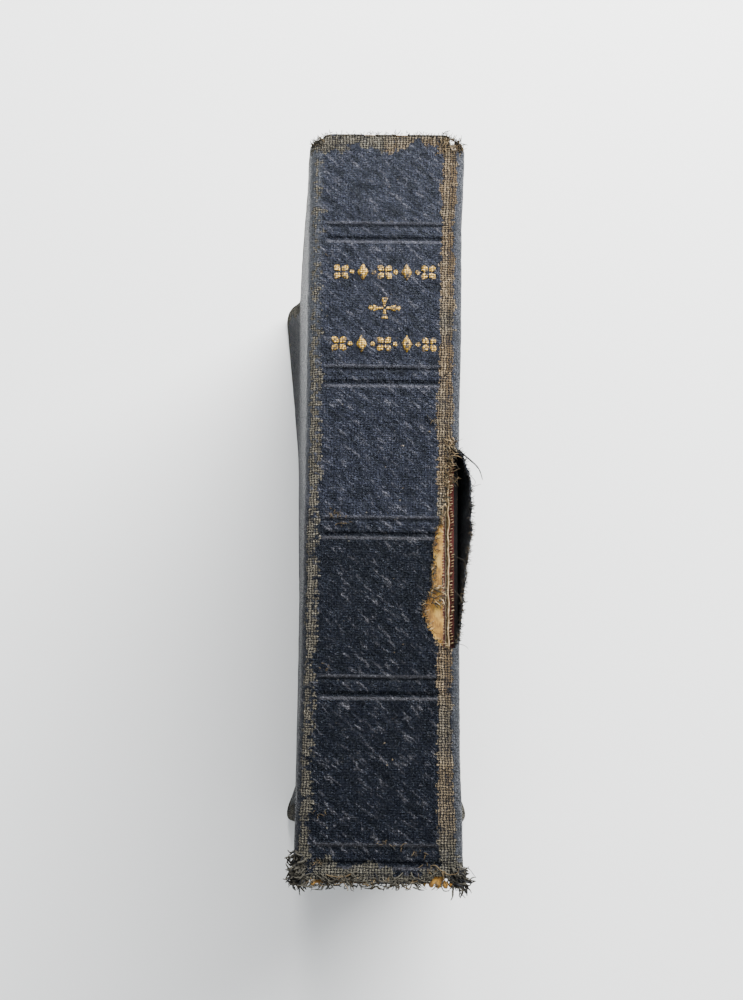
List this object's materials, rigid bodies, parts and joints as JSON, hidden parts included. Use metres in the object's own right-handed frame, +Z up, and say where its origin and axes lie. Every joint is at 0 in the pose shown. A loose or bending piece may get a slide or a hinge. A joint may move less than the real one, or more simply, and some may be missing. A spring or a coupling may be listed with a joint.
{
  "type": "prayer book",
  "caption": "Small thick case-bound prayer book in grained cloth with a flat spine; covers, flyleaves and outer sections turn at the joints.",
  "frame": {"origin": "under the middle of the book, on the surface that it stands on", "axes": "+Z up from the fore edges to the spine, +Y along the spine to the head, +X towards the front cover"},
  "size_m": [0.0436, 0.14, 0.098],
  "materials": {
    "bookcloth": "worn grained cloth with a slight sheen",
    "board": "rough grey-brown pulp board",
    "page_paper": "matt, browned at the edges",
    "endpaper": "matt, aged cream",
    "mull": "open glued muslin",
    "tape": "matt woven linen",
    "thread": "waxed linen thread",
    "headband_silk": "amber ribbed silk",
    "lining_paper": "brown glued paper"
  },
  "bodies": {
    "text_block": {"section_04": "page_paper", "section_05": "page_paper", "section_06": "page_paper", "section_07": "page_paper", "section_08": "page_paper", "section_09": "page_paper", "section_10": "page_paper", "section_11": "page_paper", "section_12": "page_paper", "section_13": "page_paper", "section_14": "page_paper", "section_15": "page_paper", "section_16": "page_paper", "section_17": "page_paper", "section_18": "page_paper", "section_19": "page_paper", "section_20": "page_paper", "section_21": "page_paper", "sewing_tape_head": "tape", "sewing_tape_middle": "tape", "sewing_tape_tail": "tape", "tape_stitches": "thread", "kettle_stitches": "thread", "mull": "mull", "spine_lining": "lining_paper", "headband": "headband_silk", "headband_core": "thread", "tailband": "headband_silk", "tailband_core": "thread", "spine_inlay": "board", "spine_cloth": "bookcloth"},
    "front_cover": {"front_board": "board", "front_cover_cloth": "bookcloth", "front_pastedown": "endpaper", "front_mull_flange": "mull", "front_tape_slips": "tape"},
    "back_cover": {"back_board": "board", "back_cover_cloth": "bookcloth", "back_pastedown": "endpaper", "back_mull_flange": "mull", "back_tape_slips": "tape"},
    "front_flyleaf": {"front_flyleaf": "endpaper"},
    "back_flyleaf": {"back_flyleaf": "endpaper"},
    "front_section_1": {"section_01": "page_paper"},
    "front_section_2": {"section_02": "page_paper"},
    "front_section_3": {"section_03": "page_paper"},
    "back_section_1": {"section_24": "page_paper"},
    "back_section_2": {"section_23": "page_paper"},
    "back_section_3": {"section_22": "page_paper"}
  },
  "joints": [
    {"name": "front_cover_hinge", "type": "hinge", "parent": "text_block", "child": "front_cover", "pos_m": [0.01445, 0, 0.09501], "axis": [0, -1, 0], "range_deg": [-4.5, 175.5]},
    {"name": "front_flyleaf_turn", "type": "hinge", "parent": "text_block", "child": "front_flyleaf", "pos_m": [0.01445, 0, 0.09501], "axis": [0, -1, 0], "range_deg": [-4.24, 164.98]},
    {"name": "front_section_1_turn", "type": "hinge", "parent": "text_block", "child": "front_section_1", "pos_m": [0.01445, 0, 0.09501], "axis": [0, -1, 0], "range_deg": [-3.83, 149.19]},
    {"name": "front_section_2_turn", "type": "hinge", "parent": "text_block", "child": "front_section_2", "pos_m": [0.01445, 0, 0.09501], "axis": [0, -1, 0], "range_deg": [-2.71, 105.31]},
    {"name": "front_section_3_turn", "type": "hinge", "parent": "text_block", "child": "front_section_3", "pos_m": [0.01445, 0, 0.09501], "axis": [0, -1, 0], "range_deg": [-1.58, 61.44]},
    {"name": "back_cover_hinge", "type": "hinge", "parent": "text_block", "child": "back_cover", "pos_m": [-0.01445, 0, 0.09501], "axis": [0, 1, 0], "range_deg": [-4.5, 175.5]},
    {"name": "back_flyleaf_turn", "type": "hinge", "parent": "text_block", "child": "back_flyleaf", "pos_m": [-0.01445, 0, 0.09501], "axis": [0, 1, 0], "range_deg": [-4.24, 164.98]},
    {"name": "back_section_1_turn", "type": "hinge", "parent": "text_block", "child": "back_section_1", "pos_m": [-0.01445, 0, 0.09501], "axis": [0, 1, 0], "range_deg": [-3.83, 149.19]},
    {"name": "back_section_2_turn", "type": "hinge", "parent": "text_block", "child": "back_section_2", "pos_m": [-0.01445, 0, 0.09501], "axis": [0, 1, 0], "range_deg": [-2.71, 105.31]},
    {"name": "back_section_3_turn", "type": "hinge", "parent": "text_block", "child": "back_section_3", "pos_m": [-0.01445, 0, 0.09501], "axis": [0, 1, 0], "range_deg": [-1.58, 61.44]}
  ],
  "couplings": [
    {"joint": "front_flyleaf_turn", "follows": "front_cover_hinge", "ratio": 0.94},
    {"joint": "front_section_1_turn", "follows": "front_cover_hinge", "ratio": 0.85},
    {"joint": "front_section_2_turn", "follows": "front_cover_hinge", "ratio": 0.6},
    {"joint": "front_section_3_turn", "follows": "front_cover_hinge", "ratio": 0.35},
    {"joint": "back_flyleaf_turn", "follows": "back_cover_hinge", "ratio": 0.94},
    {"joint": "back_section_1_turn", "follows": "back_cover_hinge", "ratio": 0.85},
    {"joint": "back_section_2_turn", "follows": "back_cover_hinge", "ratio": 0.6},
    {"joint": "back_section_3_turn", "follows": "back_cover_hinge", "ratio": 0.35}
  ]
}
